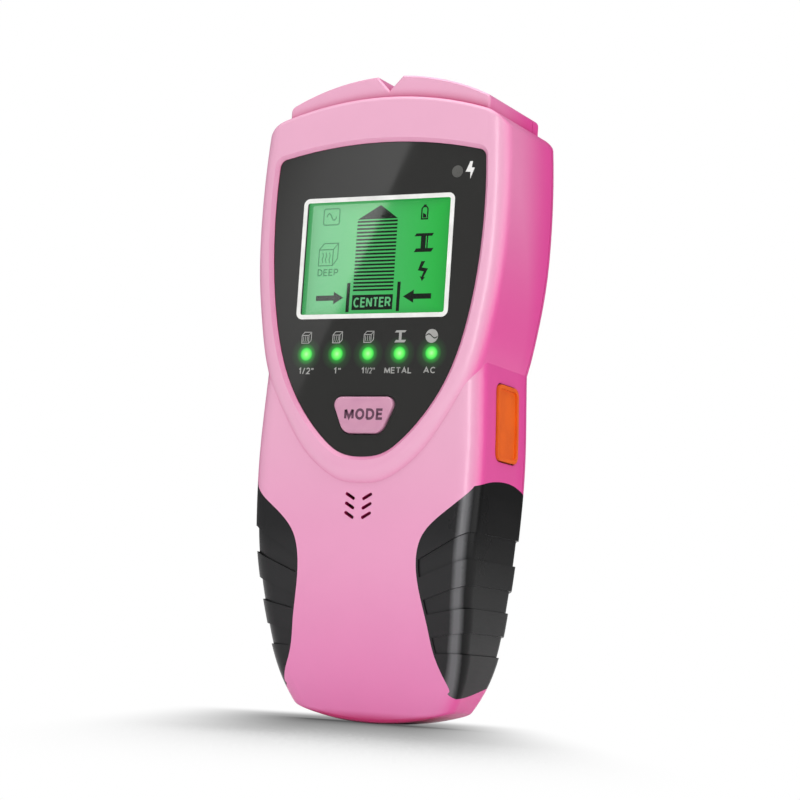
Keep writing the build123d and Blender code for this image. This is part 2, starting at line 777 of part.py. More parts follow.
with BuildPart() as sensor_plates:
    # three copper plates, printed on the wall side, that feel the change behind the wall
    with BuildSketch(at_depth(sensor_board_rear - 0.1)):
        with Locations((0, 38)):
            with GridLocations(13.0, 1, 3, 1):
                Rectangle(11.0, 36.0)
    extrude(amount=0.1)
name_and_save(sensor_plates.part, "sensor_plates")

coil_at = (0, 38)
with BuildPart() as coil_former:
    with BuildSketch(at_depth(sensor_board_front)):
        with Locations(coil_at):
            Circle(15.5)
            Circle(8.0, mode=Mode.SUBTRACT)
    extrude(amount=0.8)
    with BuildSketch(at_depth(sensor_board_front + 0.8)):
        with Locations(coil_at):
            Circle(9.0)
            Circle(8.0, mode=Mode.SUBTRACT)
    extrude(amount=2.4)
    with BuildSketch(at_depth(sensor_board_front + 3.2)):
        with Locations(coil_at):
            Circle(15.5)
            Circle(8.0, mode=Mode.SUBTRACT)
    extrude(amount=0.8)
name_and_save(coil_former.part, "coil_former")

with BuildPart() as metal_coil:
    with BuildSketch(at_depth(sensor_board_front + 0.85)):
        with Locations(coil_at):
            Circle(14.8)
            Circle(9.05, mode=Mode.SUBTRACT)
    extrude(amount=2.3)
name_and_save(metal_coil.part, "metal_coil")

with BuildPart() as board_header:
    # socket strip on the sensor board and the pins that reach up to the main board
    add(box_between((-8.0, 8.0), (sensor_board_front, 12.5), (10.8, 13.3)))
    with BuildSketch(at_depth(12.5)):
        with Locations((0, 12.05)):
            with GridLocations(2.54, 1, 6, 1):
                Rectangle(0.64, 0.64)
    extrude(amount=board_rear - 12.5)
name_and_save(board_header.part, "board_header")

# --- Battery, its clip and leads --------------------------------------------------------------
battery_mid = -(battery_rear + battery_size[1] / 2)
battery_top = battery_bottom + 46.4
terminal_height = 2.1
terminal_spread = 6.35

with BuildPart() as battery_case:
    with BuildSketch(Plane.XY.offset(battery_bottom)):
        with Locations((0, battery_mid)):
            RectangleRounded(battery_size[0], battery_size[1], 2.2)
    extrude(amount=battery_top - battery_bottom)
    caps = battery_case.faces().filter_by(Axis.Z)
    fillet(caps.edges(), radius=0.6)
name_and_save(battery_case.part, "battery_case")

with BuildPart() as battery_terminals:
    with BuildSketch(Plane.XY.offset(battery_top)):
        with Locations((-terminal_spread, battery_mid)):
            Circle(2.85)
        with Locations((terminal_spread, battery_mid)):
            RegularPolygon(4.3, 6)
            Circle(3.1, mode=Mode.SUBTRACT)
    extrude(amount=terminal_height)
name_and_save(battery_terminals.part, "battery_terminals")

clip_base = battery_top + terminal_height + 0.1
with BuildPart() as clip_contacts:
    with BuildSketch(Plane.XY.offset(battery_top + 0.2)):
        with Locations((-terminal_spread, battery_mid)):
            Circle(4.0)
            Circle(3.1, mode=Mode.SUBTRACT)
        with Locations((terminal_spread, battery_mid)):
            Circle(2.85)
    extrude(amount=clip_base - battery_top - 0.2)
name_and_save(clip_contacts.part, "clip_contacts")

clip_height = 3.2
with BuildPart() as battery_clip:
    with BuildSketch(Plane.XY.offset(clip_base)):
        with Locations((0, battery_mid)):
            SlotOverall(25.6, 12.6)
    extrude(amount=clip_height)
    fillet(battery_clip.faces().sort_by(Axis.Z)[-1].edges(), radius=0.8)
name_and_save(battery_clip.part, "battery_clip")

lead_radius = 0.65
for label, x in (("red_lead", -3.5), ("black_lead", 3.5)):
    route = [
        (x, battery_mid, clip_base + clip_height), (x, battery_mid, 2.5),
        (x, battery_mid - 5.6, 8.4), (x, -board_rear, 8.4),
    ]
    radii = []
    for before, here, after in zip(route, route[1:], route[2:]):
        arrive = Vector(*here) - Vector(*before)
        leave = Vector(*after) - Vector(*here)
        half_turn = radians(arrive.get_angle(leave) / 2)
        radii.append(0.45 * min(arrive.length, leave.length) / tan(half_turn))
    print(label, "bend radii", [round(radius, 1) for radius in radii])
    with BuildPart() as lead:
        with BuildLine() as path:
            FilletPolyline(*route, radius=radii)
        with BuildSketch(Plane(origin=path.line @ 0, z_dir=path.line % 0)):
            Circle(lead_radius)
        sweep()
    name_and_save(lead.part, label)
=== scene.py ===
import math

import bmesh
import bpy
from mathutils import Matrix, Vector


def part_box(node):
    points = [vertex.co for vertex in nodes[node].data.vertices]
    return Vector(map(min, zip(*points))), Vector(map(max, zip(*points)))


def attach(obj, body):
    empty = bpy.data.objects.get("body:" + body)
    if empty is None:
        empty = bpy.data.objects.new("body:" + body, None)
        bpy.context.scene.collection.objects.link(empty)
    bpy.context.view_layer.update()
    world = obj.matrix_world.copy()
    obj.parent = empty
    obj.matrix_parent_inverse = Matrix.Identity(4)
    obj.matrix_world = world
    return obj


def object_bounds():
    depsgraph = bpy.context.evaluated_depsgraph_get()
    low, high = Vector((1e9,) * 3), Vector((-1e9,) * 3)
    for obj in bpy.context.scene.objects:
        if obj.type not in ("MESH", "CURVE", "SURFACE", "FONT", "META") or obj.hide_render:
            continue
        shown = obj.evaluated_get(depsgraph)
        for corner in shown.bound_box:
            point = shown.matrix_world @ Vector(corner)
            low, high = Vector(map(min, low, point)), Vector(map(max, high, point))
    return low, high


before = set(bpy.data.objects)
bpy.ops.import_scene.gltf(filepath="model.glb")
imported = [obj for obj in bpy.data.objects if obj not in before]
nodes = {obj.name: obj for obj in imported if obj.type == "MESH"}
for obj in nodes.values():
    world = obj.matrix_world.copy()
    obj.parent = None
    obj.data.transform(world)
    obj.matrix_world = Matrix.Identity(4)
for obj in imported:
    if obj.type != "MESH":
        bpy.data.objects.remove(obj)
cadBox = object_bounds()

mm = 0.001
print("frame loaded,", len(nodes), "parts")


# small helpers
def linearColour(hexCode, alpha=1.0):
    # sRGB hex to the linear colour that the shaders expect
    channels = []
    for start in (0, 2, 4):
        value = int(hexCode[start:start + 2], 16) / 255
        channels.append(value / 12.92 if value <= 0.04045 else ((value + 0.055) / 1.055) ** 2.4)
    return (*channels, alpha)


def perMetre(sizeMm):
    # pattern scale for a feature of this size in millimetres
    return 1000 / sizeMm


def addNode(material, kind, settings=None, inputs=None):
    # adds one node; an input that is a socket is linked, anything else is set as its value
    node = material.node_tree.nodes.new(kind)
    for name, value in (settings or {}).items():
        setattr(node, name, value)
    for name, value in (inputs or {}).items():
        if isinstance(value, bpy.types.NodeSocket):
            material.node_tree.links.new(value, node.inputs[name])
        else:
            node.inputs[name].default_value = value
    return node


def startMaterial(name):
    # an empty material with object coordinates; the caller links a shader with finishMaterial
    material = bpy.data.materials.new(name)
    material.use_nodes = True
    material.node_tree.nodes.clear()
    coords = addNode(material, "ShaderNodeTexCoord")
    return material, coords


def finishMaterial(material, shader):
    addNode(material, "ShaderNodeOutputMaterial", {}, {"Surface": shader})
    return material


def addRamp(material, factor, stops):
    # colour ramp from a list of (position, colour or grey value)
    ramp = addNode(material, "ShaderNodeValToRGB", {}, {"Fac": factor})
    while len(ramp.color_ramp.elements) < len(stops):
        ramp.color_ramp.elements.new(0.5)
    for element, (position, colour) in zip(ramp.color_ramp.elements, stops):
        element.position = position
        element.color = colour if isinstance(colour, tuple) else (colour, colour, colour, 1)
    return ramp.outputs["Color"]


def blendColours(material, factor, first, second, mode="MIX"):
    mix = addNode(material, "ShaderNodeMix", {"data_type": "RGBA", "blend_type": mode},
                  {0: factor, 6: first, 7: second})
    return mix.outputs[2]


def calculate(material, operation, first, second=0.0):
    return addNode(material, "ShaderNodeMath", {"operation": operation},
                   {0: first, 1: second}).outputs[0]


def addBump(material, height, strength, distanceMm):
    return addNode(material, "ShaderNodeBump", {}, {
        "Height": height, "Strength": strength, "Distance": distanceMm * mm}).outputs["Normal"]


# camera and studio
cameraSettings = {
    "position": (257.63, -492.65, -67.72),  # millimetres
    "azimuth": 28.199,                      # degrees round from the front
    "upward": 7.16,                         # looks up at the display
    "roll": 3.84,
    "lens": 100.79,
}


def makeCamera():
    turn, rise, roll = (math.radians(cameraSettings[k]) for k in ("azimuth", "upward", "roll"))
    forward = Vector((-math.sin(turn) * math.cos(rise), math.cos(turn) * math.cos(rise),
                      math.sin(rise)))
    level = Vector((math.cos(turn), math.sin(turn), 0))
    right = level * math.cos(roll) + level.cross(forward) * math.sin(roll)
    up = right.cross(forward)
    data = bpy.data.cameras.new("camera")
    data.lens = cameraSettings["lens"]
    data.sensor_width = 36
    data.clip_start, data.clip_end = 0.01, 20
    camera = bpy.data.objects.new("camera", data)
    axes = Matrix((right, up, -forward)).transposed().to_4x4()
    axes.translation = Vector(cameraSettings["position"]) * mm
    camera.matrix_world = axes
    bpy.context.scene.collection.objects.link(camera)
    bpy.context.scene.camera = camera


studio = {
    "floorDrop": 0.05,     # millimetres under the lowest point of the tool
    "floorColour": "f4f4f4",
    "floorHalf": 3.0,      # metres
    "shadowReach": 450,    # how far off the tool still takes light from the table, in mm
    # painted shadow: open sky seen by a spot on the table, and how brightly it then glows
    "shadowLevels": [(0.3, 0.1), (0.7, 0.24), (0.88, 0.34), (0.945, 0.45), (0.985, 0.7),
                     (1.0, 1.0)],
    "shadowHalf": (10, 52),    # full within the first distance of its middle, gone at the second
    "shadowMiddle": -11,       # mm to the left of the origin, across its run
    "shadowTurn": 28,          # degrees; the shadow runs out this way from the front
    "shadowRun": ((-110, -25), (340, 130)),   # gone and full, behind the tool and in front of it
    "backdropStrength": 1.0,   # what the eye sees behind the tool
    "domeStrength": 0.45,      # soft light from all round
    "reflectedDome": 0.12,     # the dome as gloss shows it, so that black stays black
    # name: position mm, aims at mm, width mm, height mm, watts
    "lights": {
        "keySoftbox": ((-520, -560, 620), (0, 0, 10), 460, 460, 1.4),
        "frontFill": ((60, -900, 120), (0, 0, 0), 700, 700, 0.3),
        "topSoftbox": ((0, -100, 900), (0, 0, -80), 900, 900, 7.0),
        "edgeStrip": ((330, -560, 40), (20, -15, 0), 70, 620, 1.6),
        "sideFill": ((740, 60, 60), (0, -15, 0), 520, 520, 1.5),
    },
}


def makeStudio():
    scene = bpy.context.scene
    world = bpy.data.worlds.new("studioWorld")
    scene.world = world
    world.use_nodes = True
    world.node_tree.nodes.clear()
    path = addNode(world, "ShaderNodeLightPath")
    dome = addNode(world, "ShaderNodeMix", {"data_type": "FLOAT"},
                   {0: path.outputs["Is Glossy Ray"], 2: studio["domeStrength"],
                    3: studio["reflectedDome"]})
    seen = addNode(world, "ShaderNodeMix", {"data_type": "FLOAT"},
                   {0: path.outputs["Is Camera Ray"], 2: dome.outputs[0],
                    3: studio["backdropStrength"]})
    light = addNode(world, "ShaderNodeBackground", {}, {"Color": (1, 1, 1, 1),
                                                         "Strength": seen.outputs[0]})
    addNode(world, "ShaderNodeOutputWorld", {}, {"Surface": light.outputs[0]})
    scene.view_settings.view_transform = "Standard"

    for name, (position, aim, width, height, watts) in studio["lights"].items():
        data = bpy.data.lights.new(name, "AREA")
        data.shape = "RECTANGLE"
        data.size, data.size_y, data.energy = width * mm, height * mm, watts
        lamp = bpy.data.objects.new(name, data)
        lamp.location = Vector(position) * mm
        lamp.rotation_mode = "QUATERNION"
        lamp.rotation_quaternion = (Vector(aim) - Vector(position)).to_track_quat("-Z", "Y")
        lamp.visible_camera = False
        scene.collection.objects.link(lamp)

    # light table under the tool: opal acrylic that glows evenly, as the eye sees it; a painted shadow
    # darkens it where the tool covers it, in place of a cast shadow
    opal, coords = startMaterial("opalLightTable")
    grain = addNode(opal, "ShaderNodeTexNoise", {}, {"Vector": coords.outputs["Object"],
                                                      "Scale": perMetre(3), "Detail": 4})
    matt = addNode(opal, "ShaderNodeBsdfPrincipled", {}, {
        "Base Color": linearColour(studio["floorColour"]), "Roughness": 0.9,
        "Specular IOR Level": 0.1,
        "Normal": addBump(opal, grain.outputs["Fac"], 0.05, 0.1)})
    covered = addNode(opal, "ShaderNodeAmbientOcclusion", {"samples": 32},
                      {"Distance": studio["shadowReach"] * mm})
    level = addRamp(opal, covered.outputs["AO"], studio["shadowLevels"])
    # the painted shadow is kept to a strip that runs forwards and to the right, with soft edges
    turn = math.radians(studio["shadowTurn"])
    across = addNode(opal, "ShaderNodeVectorMath", {"operation": "DOT_PRODUCT"}, {
        0: coords.outputs["Object"], 1: (1000 * math.cos(turn), 1000 * math.sin(turn), 0)})
    offMiddle = calculate(opal, "ABSOLUTE", calculate(
        opal, "SUBTRACT", across.outputs["Value"], studio["shadowMiddle"]))
    paintedShadowStrip = addNode(opal, "ShaderNodeMapRange", {"interpolation_type": "SMOOTHSTEP"}, {
        0: offMiddle, 1: studio["shadowHalf"][0], 2: studio["shadowHalf"][1], 3: 1.0, 4: 0.0})
    forwards = addNode(opal, "ShaderNodeVectorMath", {"operation": "DOT_PRODUCT"}, {
        0: coords.outputs["Object"], 1: (1000 * math.sin(turn), -1000 * math.cos(turn), 0)})
    strength = paintedShadowStrip.outputs[0]
    for gone, full in studio["shadowRun"]:
        fade = addNode(opal, "ShaderNodeMapRange", {"interpolation_type": "SMOOTHSTEP"}, {
            0: forwards.outputs["Value"], 1: gone, 2: full, 3: 0.0, 4: 1.0})
        strength = calculate(opal, "MULTIPLY", strength, fade.outputs[0])
    level = blendColours(opal, strength, (1, 1, 1, 1), level)
    glow = addNode(opal, "ShaderNodeEmission", {}, {"Color": (1, 1, 1, 1), "Strength": level})
    seen = addNode(opal, "ShaderNodeLightPath")
    shader = addNode(opal, "ShaderNodeMixShader", {}, {
        0: seen.outputs["Is Camera Ray"], 1: matt.outputs[0], 2: glow.outputs[0]})
    finishMaterial(opal, shader.outputs[0])
    half = studio["floorHalf"]
    mesh = bpy.data.meshes.new("floor")
    level = cadBox[0].z - studio["floorDrop"] * mm
    mesh.from_pydata([(-half, -half, level), (half, -half, level), (half, half, level),
                      (-half, half, level)], [], [(0, 1, 2, 3)])
    floor = bpy.data.objects.new("floor", mesh)
    floor.data.materials.append(opal)
    scene.collection.objects.link(floor)


# window light that the glossy lens mirrors: one slanted edge crosses the display
windowCard = {
    "topEdge": (8.0, 60.5),       # where its edge meets the lens, x and z in mm
    "lowEdge": (-18.7, -0.7),
    "reach": 1.9,                 # how far behind the mirror point the card stands
    "width": 42.0,                # mm across the lens that the light covers
    "overrun": (8, 12),           # mm past the lens, above and below
    "strength": 1.55,
}


def makeWindowCard(lensFront):
    eye = Vector(cameraSettings["position"]) * mm
    mirrored = Vector((eye.x, -2 * lensFront - eye.y, eye.z))

    def mirrorSpot(x, z):
        onLens = Vector((x * mm, -lensFront, z * mm))
        return mirrored + (onLens - mirrored) * windowCard["reach"]

    (x1, z1), (x0, z0) = windowCard["topEdge"], windowCard["lowEdge"]
    slope = (x1 - x0) / (z1 - z0)
    above, below = windowCard["overrun"]
    zHigh, zLow = z1 + above, z0 - below
    corners = []
    for across in (0, -windowCard["width"]):
        for z in ((zHigh, zLow) if across == 0 else (zLow, zHigh)):
            corners.append(mirrorSpot(x0 + (z - z0) * slope + across, z))
    mesh = bpy.data.meshes.new("windowCard")
    mesh.from_pydata(corners, [], [(0, 1, 2, 3)])
    layer = mesh.uv_layers.new(name="card")
    for loop, uv in zip(layer.data, ((0, 1), (0, 0), (1, 0), (1, 1))):
        loop.uv = uv
    card = bpy.data.objects.new("windowCard", mesh)
    bpy.context.scene.collection.objects.link(card)
    # diffusing film over a window: brightest at its frame, fading away from it and downwards
    film, coords = startMaterial("diffusingFilm")
    split = addNode(film, "ShaderNodeSeparateXYZ", {}, {0: coords.outputs["UV"]})
    across = addRamp(film, split.outputs["X"], [(0.0, 1.0), (0.5, 0.7), (1.0, 0.0)])
    upward = addRamp(film, split.outputs["Y"], [(0.0, 0.25), (0.45, 0.6), (1.0, 1.0)])
    strength = calculate(film, "MULTIPLY",
                         calculate(film, "MULTIPLY", across, upward), windowCard["strength"])
    glow = addNode(film, "ShaderNodeEmission", {}, {"Color": (1, 1, 1, 1), "Strength": strength})
    finishMaterial(film, glow.outputs[0])
    card.data.materials.append(film)
    card.visible_camera = card.visible_diffuse = card.visible_shadow = False
    card.visible_transmission = False


# materials
# painted shade in the shell's colours: toe, side and sideRear are deeper than the front, crevice and
# inside darker still
shellColours = {
    "front": "dfa4bf",      # flat faces towards the user
    "toe": "dd79af",        # front near the lower end
    "side": "e282b0",
    "sideRear": "dc4496",
    "crevice": "b81a64",    # where walls of the same pink light each other
    "inside": "1c0712",     # openings that no light reaches
}


def mouldedPinkAbs(name, colours):
    # moulded ABS from an etched tool: satin with a fine grain; its colour carries painted shade, drawn
    # deeper on the sides, under the head and towards the toe, where a real moulding only gets less
    # light
    material, coords = startMaterial(name)
    spot = addNode(material, "ShaderNodeSeparateXYZ", {}, {0: coords.outputs["Object"]})
    facing = addNode(material, "ShaderNodeSeparateXYZ", {}, {0: coords.outputs["Normal"]})
    frontness = addNode(material, "ShaderNodeMapRange", {"interpolation_type": "SMOOTHSTEP"},
                        {0: facing.outputs["Y"], 1: -0.95, 2: -0.25, 3: 1.0, 4: 0.0})
    lowness = addNode(material, "ShaderNodeMapRange", {"interpolation_type": "SMOOTHSTEP"},
                      {0: spot.outputs["Z"], 1: 5 * mm, 2: -85 * mm, 3: 0.0, 4: 1.0})
    rearness = addNode(material, "ShaderNodeMapRange", {"interpolation_type": "SMOOTHSTEP"},
                       {0: spot.outputs["Y"], 1: -26 * mm, 2: -4 * mm, 3: 0.0, 4: 1.0})
    belowHead = addNode(material, "ShaderNodeMapRange", {"interpolation_type": "SMOOTHSTEP"},
                        {0: spot.outputs["Z"], 1: 58 * mm, 2: 12 * mm, 3: 0.0, 4: 0.9})
    sideShadeAmount = calculate(material, "MAXIMUM", rearness.outputs[0], belowHead.outputs[0])
    frontColour = blendColours(material, lowness.outputs[0], linearColour(colours["front"]),
                               linearColour(colours["toe"]))
    sideColour = blendColours(material, sideShadeAmount, linearColour(colours["side"]),
                              linearColour(colours["sideRear"]))
    colour = blendColours(material, frontness.outputs[0], sideColour, frontColour)
    # painted shade: narrow places turn deeper and redder, as where pink light bounces within them, and
    # openings go dark
    nearby = addNode(material, "ShaderNodeAmbientOcclusion", {"samples": 12},
                     {"Distance": 3.2 * mm})
    openness = addRamp(material, nearby.outputs["AO"], [(0.5, 0.0), (0.92, 1.0)])
    daylight = addRamp(material, nearby.outputs["AO"], [(0.02, 0.0), (0.2, 1.0)])
    paintedCreviceShade = blendColours(material, daylight, linearColour(colours["inside"]),
                          linearColour(colours["crevice"]))
    colour = blendColours(material, openness, paintedCreviceShade, colour)
    mottle = addNode(material, "ShaderNodeTexNoise", {}, {
        "Vector": coords.outputs["Object"], "Scale": perMetre(9), "Detail": 3})
    colour = blendColours(material, 0.05, colour,
                          addRamp(material, mottle.outputs["Fac"], [(0.35, 0.75), (0.65, 1.0)]),
                          "MULTIPLY")
    # etched grain is about 0.1 mm; drawn at 0.35 mm so that it shows
    grain = addNode(material, "ShaderNodeTexNoise", {}, {
        "Vector": coords.outputs["Object"], "Scale": perMetre(0.35), "Detail": 2})
    sheen = addRamp(material, grain.outputs["Fac"], [(0.3, 0.29), (0.7, 0.35)])
    shader = addNode(material, "ShaderNodeBsdfPrincipled", {}, {
        "Base Color": colour, "Roughness": sheen, "IOR": 1.54, "Specular IOR Level": 0.5,
        "Coat Weight": 0.12, "Coat Roughness": 0.22,
        "Normal": addBump(material, grain.outputs["Fac"], 0.06, 0.03)})
    return finishMaterial(material, shader.outputs[0])


# painted light in the rubber's colours: front is lit, edge is a painted highlight, side is shaded
gripColours = {
    "front": "242425",
    "edge": "646466",      # pale band along the rounded front edge of the right grip
    "side": "080809",
}


def overmouldedRubber():
    # overmoulded thermoplastic rubber: near black with a fine stipple; its colour carries painted
    # light: faces towards the user lighter, sides darker, and a paler band that stands for the long
    # highlight there
    material, coords = startMaterial("overmouldedRubber")
    stipple = addNode(material, "ShaderNodeTexVoronoi", {}, {
        "Vector": coords.outputs["Object"], "Scale": perMetre(0.45)})
    wear = addNode(material, "ShaderNodeTexNoise", {}, {
        "Vector": coords.outputs["Object"], "Scale": perMetre(12), "Detail": 5})
    facing = addNode(material, "ShaderNodeSeparateXYZ", {}, {0: coords.outputs["Normal"]})
    front, edge, side = (linearColour(gripColours[k]) for k in ("front", "edge", "side"))
    colour = addRamp(material, calculate(material, "MAXIMUM", facing.outputs["X"], 0.0), [
        (0.2, front), (0.42, edge), (0.6, edge), (0.8, side), (1.0, side)])
    # painted shade: the small walls between the bands stay black
    wall = calculate(material, "GREATER_THAN",
                     calculate(material, "ABSOLUTE", facing.outputs["Z"]), 0.55)
    colour = blendColours(material, wall, colour, side)
    shader = addNode(material, "ShaderNodeBsdfPrincipled", {}, {
        "Base Color": colour, "IOR": 1.5, "Specular IOR Level": 0.2,
        "Roughness": addRamp(material, wear.outputs["Fac"], [(0.3, 0.26), (0.7, 0.33)]),
        "Normal": addBump(material, stipple.outputs["Distance"], 0.05, 0.03)})
    return finishMaterial(material, shader.outputs[0])


lensPrint = {
    "black": "2e2e2d",
    "windowHalf": (19.9, 14.2),   # clear part of the lens, half width and half height in mm
    "windowCentre": 33.0,
    "lampRow": 9.45,
    "lampPitch": 8.52,
    "lampReach": 4.2,             # how far a lamp's glow spreads from its middle
    "lampStops": [(0.0, "b8ffa8"), (0.16, "7dff72"), (0.33, "38e64a"), (0.40, "1a8a28"),
                  (0.62, "0c3512"), (1.0, "000000")],
}


def printedLens():
    # clear acrylic, printed black behind except for the display window; polished, so it mirrors
    material, coords = startMaterial("printedAcrylicLens")
    spot = addNode(material, "ShaderNodeSeparateXYZ", {}, {0: coords.outputs["Object"]})
    x = calculate(material, "MULTIPLY", spot.outputs["X"], 1000.0)
    z = calculate(material, "MULTIPLY", spot.outputs["Z"], 1000.0)
    halfWidth, halfHeight = lensPrint["windowHalf"]
    insideX = calculate(material, "LESS_THAN", calculate(material, "ABSOLUTE", x), halfWidth)
    heightOff = calculate(material, "ABSOLUTE",
                          calculate(material, "SUBTRACT", z, lensPrint["windowCentre"]))
    window = calculate(material, "MULTIPLY", insideX,
                       calculate(material, "LESS_THAN", heightOff, halfHeight))
    # painted glow of the five lamps, as their light spread by the acrylic; the lens gives it off
    # itself
    pitch = lensPrint["lampPitch"]
    shifted = calculate(material, "ADD", x, 2.5 * pitch)
    wrapped = calculate(material, "SUBTRACT", calculate(material, "MODULO", shifted, pitch),
                        pitch / 2)
    lampHeight = calculate(material, "SUBTRACT", z, lensPrint["lampRow"])
    distance = calculate(material, "SQRT", calculate(
        material, "ADD", calculate(material, "MULTIPLY", wrapped, wrapped),
        calculate(material, "MULTIPLY", lampHeight, lampHeight)))
    inRow = calculate(material, "LESS_THAN", calculate(material, "ABSOLUTE", x), 2.5 * pitch)
    glowColour = addRamp(material, calculate(material, "DIVIDE", distance, lensPrint["lampReach"]),
                         [(place, linearColour(hexCode)) for place, hexCode in lensPrint["lampStops"]])
    paintedLampGlow = blendColours(material, 1.0, glowColour, inRow, "MULTIPLY")
    smudge = addNode(material, "ShaderNodeTexNoise", {}, {
        "Vector": coords.outputs["Object"], "Scale": perMetre(14), "Detail": 6})
    polish = addRamp(material, smudge.outputs["Fac"], [(0.3, 0.02), (0.8, 0.06)])
    ink = addNode(material, "ShaderNodeBsdfPrincipled", {}, {
        "Base Color": linearColour(lensPrint["black"]), "Roughness": polish, "IOR": 1.49,
        "Emission Color": paintedLampGlow, "Emission Strength": 1.0})
    clear = addNode(material, "ShaderNodeBsdfTransparent", {}, {"Color": (0.97, 0.98, 0.97, 1)})
    shine = addNode(material, "ShaderNodeBsdfGlossy", {}, {"Roughness": polish})
    fresnel = addNode(material, "ShaderNodeFresnel", {}, {"IOR": 1.49})
    pane = addNode(material, "ShaderNodeMixShader", {}, {
        0: fresnel.outputs[0], 1: clear.outputs[0], 2: shine.outputs[0]})
    both = addNode(material, "ShaderNodeMixShader", {}, {
        0: window, 1: ink.outputs[0], 2: pane.outputs[0]})
    return finishMaterial(material, both.outputs[0])


displayLight = {
    "bright": "6bd48f",
    "deep": "1bd046",
    "edge": "24a045",
    "halfWidth": 20.3,
    "halfHeight": 14.6,
    "strength": 1.0,
    "segmentStrength": 0.95,
    "mirror": 0.19,               # share of the window light that the glass sends back
    "segmentMirror": 0.09,
}


def backlitDisplay():
    # liquid crystal cell lit green from behind, its light falling off a little at the edges
    material, coords = startMaterial("backlitDisplayGlass")
    spot = addNode(material, "ShaderNodeSeparateXYZ", {}, {0: coords.outputs["Object"]})
    across = calculate(material, "ABSOLUTE", calculate(
        material, "DIVIDE", spot.outputs["X"], displayLight["halfWidth"] * mm))
    offMiddle = calculate(material, "SUBTRACT", spot.outputs["Z"], lensPrint["windowCentre"] * mm)
    upward = calculate(material, "ABSOLUTE", calculate(
        material, "DIVIDE", offMiddle, displayLight["halfHeight"] * mm))
    rim = calculate(material, "POWER", calculate(material, "MAXIMUM", across, upward), 9.0)
    leftToRight = addNode(material, "ShaderNodeMapRange", {}, {
        0: spot.outputs["X"], 1: -19 * mm, 2: 19 * mm, 3: 0.0, 4: 1.0})
    body = blendColours(material, leftToRight.outputs[0], linearColour(displayLight["bright"]),
                        linearColour(displayLight["deep"]))
    colour = blendColours(material, rim, body, linearColour(displayLight["edge"]))
    cells = addNode(material, "ShaderNodeTexNoise", {}, {
        "Vector": coords.outputs["Object"], "Scale": perMetre(1.2), "Detail": 2})
    colour = blendColours(material, 0.06, colour,
                          addRamp(material, cells.outputs["Fac"], [(0.3, 0.6), (0.7, 1.0)]),
                          "MULTIPLY")
    glow = addNode(material, "ShaderNodeEmission", {}, {"Color": colour,
                                                         "Strength": displayLight["strength"]})
    shine = addNode(material, "ShaderNodeBsdfGlossy", {}, {"Roughness": 0.04})
    both = addNode(material, "ShaderNodeMixShader", {}, {
        0: displayLight["mirror"], 1: glow.outputs[0], 2: shine.outputs[0]})
    return finishMaterial(material, both.outputs[0])


def displaySegments(name, hexCode):
    # dark liquid crystal segments under the same front glass, mirroring less of the window
    material, coords = startMaterial(name)
    cells = addNode(material, "ShaderNodeTexNoise", {}, {
        "Vector": coords.outputs["Object"], "Scale": perMetre(0.6)})
    colour = blendColours(material, 0.15, linearColour(hexCode),
                          addRamp(material, cells.outputs["Fac"], [(0.3, 0.5), (0.7, 1.0)]),
                          "MULTIPLY")
    glow = addNode(material, "ShaderNodeEmission", {}, {
        "Color": colour, "Strength": displayLight["segmentStrength"]})
    shine = addNode(material, "ShaderNodeBsdfGlossy", {}, {"Roughness": 0.04})
    both = addNode(material, "ShaderNodeMixShader", {}, {
        0: displayLight["segmentMirror"], 1: glow.outputs[0], 2: shine.outputs[0]})
    return finishMaterial(material, both.outputs[0])


# name: what it is, colour, darker colour, roughness, metallic, IOR, grain mm, bump, coat
plainFinishes = {
    "mouldedOrangeAbs": ("e46000", "d85600", 0.38, 0, 1.54, 0.4, 0.08, 0),
    "mouldedRoseAbs": ("c68fa8", "bd84a0", 0.4, 0, 1.54, 0.35, 0.06, 0.08),
    "mouldedBlackNylon": ("1b1b1c", "242426", 0.5, 0, 1.53, 0.3, 0.1, 0),
    "mouldedWhiteAbs": ("dcdcd6", "cfcfc8", 0.42, 0, 1.54, 0.4, 0.06, 0.05),
    "diffusingAcrylic": ("9fe0a6", "86d391", 0.3, 0, 1.49, 0.6, 0.04, 0.2),
    "layeredContactRubber": ("4b4c50", "8d8e90", 0.6, 0, 1.5, 0.4, 0.15, 0),
    "castGreenEpoxy": ("2fe04a", "1fb636", 0.12, 0, 1.55, 0.8, 0.02, 0.4),
    "castGreyEpoxy": ("7a7b7a", "6a6b6a", 0.12, 0, 1.55, 0.8, 0.02, 0.4),
    "zincPlatedSteel": ("b9bcc0", "9a9da2", 0.32, 1, 1.5, 0.25, 0.1, 0),
    "nickelPlate": ("c9c5bc", "aaa79f", 0.25, 1, 1.5, 0.3, 0.06, 0),
    "etchedCopper": ("d98a5b", "b86f45", 0.35, 1, 1.5, 0.5, 0.08, 0),
    "rolledBrass": ("d8b765", "b8984d", 0.3, 1, 1.5, 0.5, 0.06, 0),
    "closedCellFoam": ("2a2a2c", "38383b", 0.9, 0, 1.45, 0.5, 0.5, 0),
    "redPvc": ("b5161a", "98090e", 0.42, 0, 1.53, 0.4, 0.06, 0.05),
    "blackPvc": ("19191a", "242425", 0.42, 0, 1.53, 0.4, 0.06, 0.05),
    "whiteScreenInk": ("e9e9e6", "d4d4d1", 0.45, 0, 1.5, 0.3, 0.03, 0),
    "greyScreenInk": ("a3a3a0", "92928f", 0.5, 0, 1.5, 0.3, 0.03, 0),
    "smokedAcrylic": ("565653", "4b4b49", 0.3, 0, 1.49, 0.4, 0.03, 0.2),
    "mauvePadInk": ("5f3a50", "553247", 0.5, 0, 1.5, 0.3, 0.03, 0),
}


